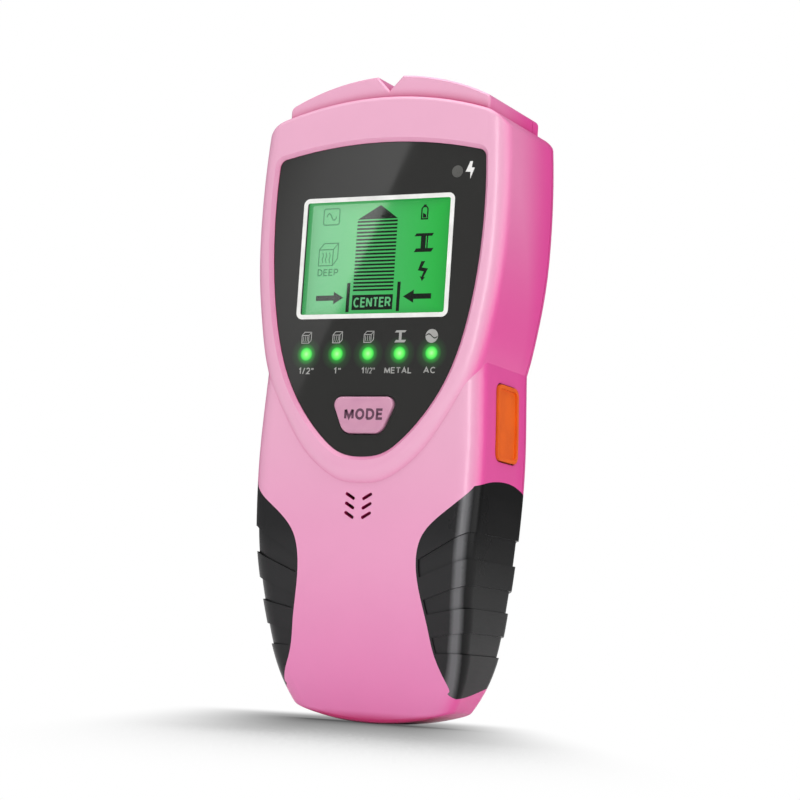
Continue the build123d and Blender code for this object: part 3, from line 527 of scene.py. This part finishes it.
def plainFinish(name):
    # one finish from the table: a base colour with mottle, fine grain and uneven gloss
    light, dark, roughness, metallic, ior, grainSize, bump, coat = plainFinishes[name]
    material, coords = startMaterial(name)
    mottle = addNode(material, "ShaderNodeTexNoise", {}, {
        "Vector": coords.outputs["Object"], "Scale": perMetre(5), "Detail": 4})
    grain = addNode(material, "ShaderNodeTexNoise", {}, {
        "Vector": coords.outputs["Object"], "Scale": perMetre(grainSize), "Detail": 2})
    colour = blendColours(material, addRamp(material, mottle.outputs["Fac"],
                                            [(0.35, 0.0), (0.75, 1.0)]),
                          linearColour(light), linearColour(dark))
    gloss = addRamp(material, grain.outputs["Fac"],
                    [(0.3, roughness * 0.88), (0.7, roughness * 1.12)])
    shader = addNode(material, "ShaderNodeBsdfPrincipled", {}, {
        "Base Color": colour, "Roughness": gloss, "Metallic": metallic, "IOR": ior,
        "Coat Weight": coat, "Coat Roughness": 0.15,
        "Normal": addBump(material, grain.outputs["Fac"], bump, 0.03)})
    return finishMaterial(material, shader.outputs[0])


def solderMaskBoard():
    # glass-fibre board under green solder mask; the covered copper tracks show as lighter lines
    material, coords = startMaterial("solderMaskBoard")
    turned = addNode(material, "ShaderNodeMapping", {}, {
        "Vector": coords.outputs["Object"], "Rotation": (math.radians(90), 0, 0),
        "Scale": (1000, 1000, 1000)})
    tracks = addNode(material, "ShaderNodeTexBrick", {"offset": 0.37, "squash": 0.6}, {
        "Vector": turned.outputs[0], "Scale": 1.0, "Mortar Size": 0.16, "Mortar Smooth": 0.1,
        "Brick Width": 5.2, "Row Height": 1.7, "Color1": linearColour("0f4a24"),
        "Color2": linearColour("0c3f1e"), "Mortar": linearColour("2b7a41")})
    weave = addNode(material, "ShaderNodeTexVoronoi", {}, {
        "Vector": coords.outputs["Object"], "Scale": perMetre(0.7)})
    shader = addNode(material, "ShaderNodeBsdfPrincipled", {}, {
        "Base Color": tracks.outputs["Color"], "Roughness": 0.32, "IOR": 1.5,
        "Coat Weight": 0.3, "Coat Roughness": 0.2,
        "Normal": addBump(material, weave.outputs["Distance"], 0.1, 0.02)})
    return finishMaterial(material, shader.outputs[0])


def enamelledWinding():
    # copper wire wound in rings round the coil former; its colour runs darker and lighter in fine
    # rings, and the bump makes them catch the light
    material, coords = startMaterial("enamelledWinding")
    centred = addNode(material, "ShaderNodeMapping", {}, {
        "Vector": coords.outputs["Object"], "Location": (0, 0, -0.038),
        "Rotation": (math.radians(90), 0, 0)})
    rings = addNode(material, "ShaderNodeTexWave", {
        "wave_type": "RINGS", "rings_direction": "Z", "wave_profile": "SIN"}, {
        "Vector": centred.outputs[0], "Scale": perMetre(0.4) / 20, "Distortion": 0.3})
    colour = blendColours(material, rings.outputs["Fac"], linearColour("5c2410"),
                          linearColour("c06a35"))
    shader = addNode(material, "ShaderNodeBsdfPrincipled", {}, {
        "Base Color": colour, "Roughness": 0.3, "Metallic": 0.85,
        "Coat Weight": 0.4, "Coat Roughness": 0.15,
        "Normal": addBump(material, rings.outputs["Fac"], 0.4, 0.1)})
    return finishMaterial(material, shader.outputs[0])


def batterySleeve():
    # lacquered steel sleeve: black lower part and a copper-coloured band at the terminal end
    material, coords = startMaterial("lacqueredBatterySleeve")
    spot = addNode(material, "ShaderNodeSeparateXYZ", {}, {0: coords.outputs["Object"]})
    band = calculate(material, "GREATER_THAN", spot.outputs["Z"], -27 * mm)
    scuffs = addNode(material, "ShaderNodeTexNoise", {}, {
        "Vector": coords.outputs["Object"], "Scale": perMetre(3), "Detail": 8})
    colour = blendColours(material, band, linearColour("232427"), linearColour("a8713d"))
    shader = addNode(material, "ShaderNodeBsdfPrincipled", {}, {
        "Base Color": colour, "Metallic": 0.6, "Coat Weight": 0.6, "Coat Roughness": 0.12,
        "Roughness": addRamp(material, scuffs.outputs["Fac"], [(0.3, 0.25), (0.7, 0.38)]),
        "Normal": addBump(material, scuffs.outputs["Fac"], 0.04, 0.05)})
    return finishMaterial(material, shader.outputs[0])


# which finish each part has
partFinishes = {
    "shell": ["front_shell", "rear_shell", "battery_door"],
    "rubber": ["right_grip", "left_grip"],
    "lens": ["display_lens"],
    "display": ["display_glass"],
    "board": ["main_board", "sensor_board", "switch_board"],
    "winding": ["metal_coil"],
    "sleeve": ["battery_case"],
    "mouldedRoseAbs": ["mode_button"],
    "mouldedOrangeAbs": ["power_button"],
    "mouldedBlackNylon": ["mode_switch", "power_switch", "microcontroller", "amplifier_chips",
                          "filter_capacitors", "chip_resistors", "sounder_ring",
                          "board_header", "battery_clip"],
    "mouldedWhiteAbs": ["mode_switch_plunger", "power_switch_plunger", "display_holder",
                        "coil_former"],
    "diffusingAcrylic": ["display_backlight"],
    "layeredContactRubber": ["display_contacts"],
    "castGreenEpoxy": ["indicator_lamps"],
    "castGreyEpoxy": ["warning_lamp"],
    "zincPlatedSteel": ["shell_screws", "board_screws", "sensor_board_screws"],
    "nickelPlate": ["clock_crystal", "battery_terminals", "clip_contacts"],
    "etchedCopper": ["sensor_plates"],
    "rolledBrass": ["sounder_disc"],
    "closedCellFoam": ["battery_pad"],
    "redPvc": ["red_lead"],
    "blackPvc": ["black_lead"],
}


def finishParts():
    special = {
        "shell": mouldedPinkAbs("mouldedPinkAbs", shellColours),
        "rubber": overmouldedRubber(), "lens": printedLens(), "display": backlitDisplay(),
        "board": solderMaskBoard(), "winding": enamelledWinding(), "sleeve": batterySleeve(),
    }
    for finish, names in partFinishes.items():
        material = special.get(finish) or plainFinish(finish)
        for name in names:
            mesh = nodes[name].data
            mesh.materials.clear()
            mesh.materials.append(material)
            for polygon in mesh.polygons:
                polygon.material_index = 0


# printed and displayed figures: flat shapes given as x, z in mm
def ribbon(points, width, closed=False):
    # quads along a line of the given width, mitred at its corners
    count = len(points)
    lefts, rights = [], []
    for i, here in enumerate(points):
        here = Vector(here)
        before = Vector(points[i - 1]) if closed or i else None
        after = Vector(points[(i + 1) % count]) if closed or i < count - 1 else None
        sides = [(b - a).normalized() for a, b in ((before, here), (here, after)) if a and b]
        tangent = sum(sides, Vector((0, 0))).normalized()
        square = Vector((-tangent.y, tangent.x))
        reach = width / 2 / max(0.35, tangent.dot(sides[0]))
        lefts.append(here + square * reach)
        rights.append(here - square * reach)
    quads = []
    for i in range(count if closed else count - 1):
        j = (i + 1) % count
        quads.append([lefts[i], lefts[j], rights[j], rights[i]])
    return quads


def roundedBox(halfWidth, halfHeight, radius, centre, steps=6):
    points = []
    for quarter, (sx, sz) in enumerate(((1, 1), (-1, 1), (-1, -1), (1, -1))):
        for step in range(steps + 1):
            angle = math.radians(90 * (quarter + step / steps))
            points.append((centre[0] + sx * (halfWidth - radius) + radius * math.cos(angle),
                           centre[1] + sz * (halfHeight - radius) + radius * math.sin(angle)))
    return points


def disc(centre, radius, steps=32):
    return [(centre[0] + radius * math.cos(math.tau * i / steps),
             centre[1] + radius * math.sin(math.tau * i / steps)) for i in range(steps)]


def flatPiece(name, shapes, depth, thickness, material, body):
    # thin raised print: each shape is a polygon on the plane at this depth, facing the user
    builder = bmesh.new()
    known = {}
    for shape in shapes:
        corners = []
        for point in shape:
            key = (round(point[0], 4), round(point[1], 4))
            if key not in known:
                known[key] = builder.verts.new((key[0] * mm, -depth * mm, key[1] * mm))
            if known[key] not in corners:
                corners.append(known[key])
        if len(corners) > 2 and not builder.faces.get(corners):
            builder.faces.new(corners)
    bmesh.ops.recalc_face_normals(builder, faces=builder.faces)
    grown = bmesh.ops.extrude_face_region(builder, geom=builder.faces[:])
    raised = [v for v in grown["geom"] if isinstance(v, bmesh.types.BMVert)]
    bmesh.ops.translate(builder, vec=(0, -thickness * mm, 0), verts=raised)
    bmesh.ops.recalc_face_normals(builder, faces=builder.faces)
    mesh = bpy.data.meshes.new(name)
    builder.to_mesh(mesh)
    builder.free()
    mesh.materials.append(material)
    piece = bpy.data.objects.new(name, mesh)
    bpy.context.scene.collection.objects.link(piece)
    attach(piece, body)


def bow(centre, radii, start, end, steps=10):
    # points along part of an ellipse, angles in degrees
    return [(centre[0] + radii[0] * math.cos(math.radians(start + (end - start) * i / steps)),
             centre[1] + radii[1] * math.sin(math.radians(start + (end - start) * i / steps)))
            for i in range(steps + 1)]


# letter strokes in a box 1 wide and 1 high; each letter's width is a share of its height
glyphs = {
    "A": (0.86, [[(0, 0), (0.5, 1), (1, 0)], [(0.2, 0.33), (0.8, 0.33)]]),
    "C": (0.84, [bow((0.52, 0.5), (0.52, 0.5), 48, 312, 16)]),
    "D": (0.8, [[(0, 0), (0, 1)] + bow((0.4, 0.5), (0.6, 0.5), 90, -90, 12) + [(-0.02, 0)]]),
    "E": (0.66, [[(1, 1), (0, 1), (0, 0), (1, 0)], [(0, 0.52), (0.92, 0.52)]]),
    "L": (0.62, [[(0, 1), (0, 0), (1, 0)]]),
    "M": (0.92, [[(0, 0), (0, 1)], [(0.03, 1), (0.5, 0.12), (0.97, 1)], [(1, 1), (1, 0)]]),
    "N": (0.78, [[(0, 0), (0, 1)], [(0.02, 1), (0.98, 0)], [(1, 0), (1, 1)]]),
    "O": (0.88, [bow((0.5, 0.5), (0.5, 0.5), 0, 360, 24)]),
    "P": (0.7, [[(0, 0), (0, 1)] + bow((0.6, 0.72), (0.4, 0.28), 90, -90) + [(0, 0.44)]]),
    "R": (0.78, [[(0, 0), (0, 1)] + bow((0.58, 0.73), (0.38, 0.27), 90, -90) + [(0, 0.46)],
                 [(0.55, 0.46), (0.98, 0)]]),
    "T": (0.74, [[(0, 1), (1, 1)], [(0.5, 1), (0.5, 0)]]),
    "1": (0.3, [[(0, 0.76), (0.75, 1), (0.75, 0)]]),
    "2": (0.6, [bow((0.5, 0.7), (0.46, 0.3), 160, -35) + [(0.05, 0.0), (1, 0)]]),
    "/": (0.34, [[(0, -0.04), (1, 1.04)]]),
    '"': (0.26, [[(0.1, 1), (0.1, 0.68)], [(0.95, 1), (0.95, 0.68)]]),
}
letterGap = 0.14    # space between letters as a share of their height


def letterShapes(words, centre, width, height, weight):
    # strokes for words fitted into a box of this width and height; weight is the stroke in mm
    inner = height - weight
    sizes = [glyphs[letter][0] for letter in words]
    natural = sum(sizes) * inner + (len(words) - 1) * (letterGap * height + weight)
    stretch = (width - weight) / natural
    left = centre[0] - (width - weight) / 2
    low = centre[1] - inner / 2
    shapes = []
    for letter, size in zip(words, sizes):
        across = size * inner * stretch
        for stroke in glyphs[letter][1]:
            points = [(left + x * across, low + z * inner) for x, z in stroke]
            shapes += ribbon(points, weight)
        left += across + (letterGap * height + weight) * stretch
    return shapes


displayFigures = {
    "depth": 28.62,
    "thickness": 0.03,
    "arrowTip": (0.1, 46.0),
    "arrowShoulder": 42.55,       # height where the roof meets the bars
    "arrowHalf": 5.5,
    "arrowMiddle": -0.55,
    "barCount": 20,
    "barBottom": 24.85,
    "barThickness": 0.47,
    "barGap": 0.32,               # under the roof, before the first bar
    "boxLimits": (-6.1, 5.0, 20.3, 24.0),
}


def makeDisplayFigures():
    settings = displayFigures
    depth, thick = settings["depth"], settings["thickness"]
    dark = displaySegments("darkSegments", "07170c")
    faint = displaySegments("faintSegments", "2f8f56")
    middle, half = settings["arrowMiddle"], settings["arrowHalf"]
    left, right = middle - half, middle + half
    shapes = [[(left, settings["arrowShoulder"]), settings["arrowTip"],
               (right, settings["arrowShoulder"])]]
    pitch = (settings["arrowShoulder"] - settings["barBottom"]) / settings["barCount"]
    for row in range(settings["barCount"]):
        top = settings["arrowShoulder"] - settings["barGap"] - row * pitch
        low = top - settings["barThickness"]
        shapes.append([(left, top), (right, top), (right, low), (left, low)])
    flatPiece("signalArrow", shapes, depth, thick, dark, "housing")

    x0, x1, z0, z1 = settings["boxLimits"]
    flatPiece("centreBox", [[(x0, z1), (x1, z1), (x1, z0), (x0, z0)]], depth, thick, dark,
              "housing")
    word = letterShapes("CENTER", ((x0 + x1) / 2, (z0 + z1) / 2), x1 - x0 - 0.9,
                        (z1 - z0) * 0.66, 0.42)
    flatPiece("centreWord", word, depth + thick, 0.02, displaySegments("litLetters", "6fd08c"),
              "housing")

    posts = [[(-7.75, 27.0), (-6.85, 27.0), (-6.85, 19.85), (-7.75, 19.85)],
             [(6.05, 27.0), (6.9, 27.0), (6.9, 19.85), (6.05, 19.85)]]
    arrows = [[(-16.2, 24.05), (-11.3, 24.05), (-11.3, 24.95), (-8.6, 23.42), (-11.3, 21.85),
               (-11.3, 22.75), (-16.2, 22.75)],
              [(15.3, 24.0), (10.6, 24.0), (10.6, 24.95), (7.75, 23.38), (10.6, 21.8),
               (10.6, 22.7), (15.3, 22.7)]]
    flatPiece("edgePosts", posts, depth, thick, dark, "housing")
    flatPiece("edgeArrows", arrows, depth, thick, dark, "housing")

    # right-hand symbols: battery, beam and bolt
    battery = ribbon([(11.35, 42.1), (11.35, 44.6), (11.75, 45.1), (12.55, 45.1), (12.95, 44.6),
                      (12.95, 42.1)], 0.34, closed=True)
    battery.append([(11.8, 45.25), (12.5, 45.25), (12.5, 45.6), (11.8, 45.6)])
    battery.append([(11.7, 42.4), (12.6, 42.4), (12.6, 43.1), (11.7, 43.6)])
    flatPiece("batterySymbol", battery, depth, thick, dark, "housing")
    beam = [[(10.3, 38.6), (15.0, 38.6), (14.5, 37.9), (9.8, 37.9)],
            [(11.6, 37.95), (12.9, 37.95), (12.9, 34.9), (11.6, 34.9)],
            [(10.4, 34.95), (15.1, 34.95), (14.5, 34.05), (9.9, 34.05)],
            [(13.15, 37.95), (13.5, 37.95), (13.5, 34.9), (13.15, 34.9)]]
    flatPiece("beamSymbol", beam, depth, thick, dark, "housing")
    bolt = [[(12.1, 31.8), (13.1, 31.8), (12.35, 30.3), (14.0, 30.0), (12.9, 27.9),
             (13.35, 27.95), (12.55, 27.0), (11.9, 28.2), (12.35, 28.05), (12.9, 29.3),
             (11.3, 29.6)]]
    flatPiece("boltSymbol", bolt, depth, thick, dark, "housing")

    # left-hand symbols: a wave in a rounded frame and a cut stud, shown unlit
    wave = [(-14.8 + 0.175 * i, 43.55 + 0.85 * math.sin(math.tau * i / 16)) for i in range(17)]
    symbols = ribbon(roundedBox(2.2, 2.0, 0.5, (-13.4, 43.55)), 0.28, closed=True)
    symbols += ribbon(wave, 0.28)
    flatPiece("waveSymbol", symbols, depth, thick, faint, "housing")
    stud = ribbon([(-16.2, 35.4), (-12.3, 35.4), (-12.3, 31.45), (-16.2, 31.45)], 0.26,
                  closed=True)
    stud += ribbon([(-16.2, 35.5), (-14.9, 36.95), (-10.95, 36.95), (-10.95, 33.2),
                    (-12.2, 31.5)], 0.26)
    stud += ribbon([(-12.25, 35.45), (-10.95, 36.9)], 0.22)
    for x in (-15.2, -14.3, -13.3):
        stud += ribbon([(x, 34.7), (x + 0.25, 33.9), (x - 0.05, 33.0), (x + 0.2, 32.1)], 0.24)
    flatPiece("studSymbol", stud, depth, thick, faint, "housing")
    flatPiece("deepWord", letterShapes("DEEP", (-13.4, 29.75), 5.8, 1.75, 0.3), depth, thick,
              faint, "housing")


lensFigures = {
    "depth": 29.9,
    "thickness": 0.03,
    "borderHalf": (20.1, 14.4),   # middle of the white line round the display
    "borderWidth": 1.1,
    "borderRadius": 1.1,
    "iconRow": 13.5,
    "labelRow": 5.35,
    "iconSpots": (-17.25, -8.65, -0.05, 8.45, 16.85),
}


def blockIcon(x, z):
    # a short length of wall stud in perspective, as an outline with grain
    half, lift = 0.95, 0.75
    lines = ribbon([(x - half - 0.35, z + 0.55), (x + half - 0.35, z + 0.55),
                    (x + half - 0.35, z - 1.35), (x - half - 0.35, z - 1.35)], 0.17, closed=True)
    lines += ribbon([(x - half - 0.35, z + 0.6), (x - half + 0.35, z + 0.6 + lift),
                     (x + half + 0.35, z + 0.6 + lift), (x + half + 0.35, z - 0.65),
                     (x + half - 0.3, z - 1.35)], 0.17)
    lines += ribbon([(x + half - 0.3, z + 0.6), (x + half + 0.35, z + 0.6 + lift)], 0.15)
    for offset in (-0.95, -0.4, 0.15):
        lines += ribbon([(x + offset, z + 0.3), (x + offset + 0.1, z - 0.4),
                         (x + offset - 0.05, z - 1.1)], 0.13)
    return lines


def makeLensFigures():
    settings = lensFigures
    depth, thick = settings["depth"], settings["thickness"]
    white = plainFinish("whiteScreenInk")
    grey = plainFinish("greyScreenInk")
    border = ribbon(roundedBox(*settings["borderHalf"], settings["borderRadius"],
                               (0, lensPrint["windowCentre"]), 8),
                    settings["borderWidth"], closed=True)
    flatPiece("displayBorder", border, depth, thick, white, "housing")
    z = settings["iconRow"]
    for label, x in zip(("halfInch", "oneInch", "deepInch"), settings["iconSpots"]):
        flatPiece(label + "Icon", blockIcon(x, z), depth, thick, grey, "housing")
    x = settings["iconSpots"][3]
    flatPiece("metalIcon", [
        [(x - 1.1, z + 1.45), (x + 1.6, z + 1.45), (x + 1.2, z + 0.95), (x - 1.5, z + 0.95)],
        [(x - 0.35, z + 0.95), (x + 0.35, z + 0.95), (x + 0.35, z - 0.9), (x - 0.35, z - 0.9)],
        [(x - 1.1, z - 0.85), (x + 1.6, z - 0.85), (x + 1.2, z - 1.45), (x - 1.5, z - 1.45)],
    ], depth, thick, grey, "housing")
    x = settings["iconSpots"][4]
    sheets = []
    for side in (1, -1):
        # round badge split by a wave into an upper and a lower half
        arc = [(x + 1.65 * math.cos(math.pi * i / 16), z + side * 1.65 * math.sin(math.pi * i / 16))
               for i in range(17)]
        wave = [(x - 1.65 + 3.3 * i / 12, z + side * 0.16 + 0.5 * math.sin(math.tau * i / 12))
                for i in range(1, 12)]
        sheets.append(arc + wave)
    flatPiece("mainsIcon", sheets, depth, thick, grey, "housing")
    flatPiece("liveIcon", [[(24.1, 55.25), (24.75, 55.25), (24.55, 53.75), (25.35, 53.65),
                            (24.3, 51.0), (24.3, 52.7), (23.0, 52.8)]], depth, thick, white,
              "housing")
    # the lamp window beside the live-wire mark, unlit
    flatPiece("warningLampWindow", [disc((20.83, 52.97), 1.45)], depth, thick,
              plainFinish("smokedAcrylic"), "housing")
    row = settings["labelRow"]
    words = {
        "halfInchLabel": letterShapes('1/2"', (-16.75, row), 4.1, 1.6, 0.25),
        "oneInchLabel": letterShapes('1"', (-8.1, row), 1.9, 1.55, 0.25),
        "deepInchLabel": letterShapes("1", (-1.1, row), 0.8, 1.55, 0.25)
                         + letterShapes("1/2", (0.45, row), 1.9, 1.4, 0.17)
                         + letterShapes('"', (1.85, row), 0.65, 1.55, 0.2),
        "metalLabel": letterShapes("METAL", (8.45, row), 7.3, 1.5, 0.25),
        "mainsLabel": letterShapes("AC", (16.87, row), 3.3, 1.5, 0.25),
    }
    for name, shapes in words.items():
        flatPiece(name, shapes, depth, thick, grey, "housing")
    flatPiece("modeWord", letterShapes("MODE", (0.45, -5.25), 10.6, 2.75, 0.62), 30.7, 0.03,
              plainFinish("mauvePadInk"), "mode_button")


makeCamera()
makeStudio()
lensFront = -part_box("display_lens")[0].y
makeWindowCard(lensFront)
print("camera and studio ready")
finishParts()
print("finishes ready")
makeDisplayFigures()
makeLensFigures()
print("figures ready")
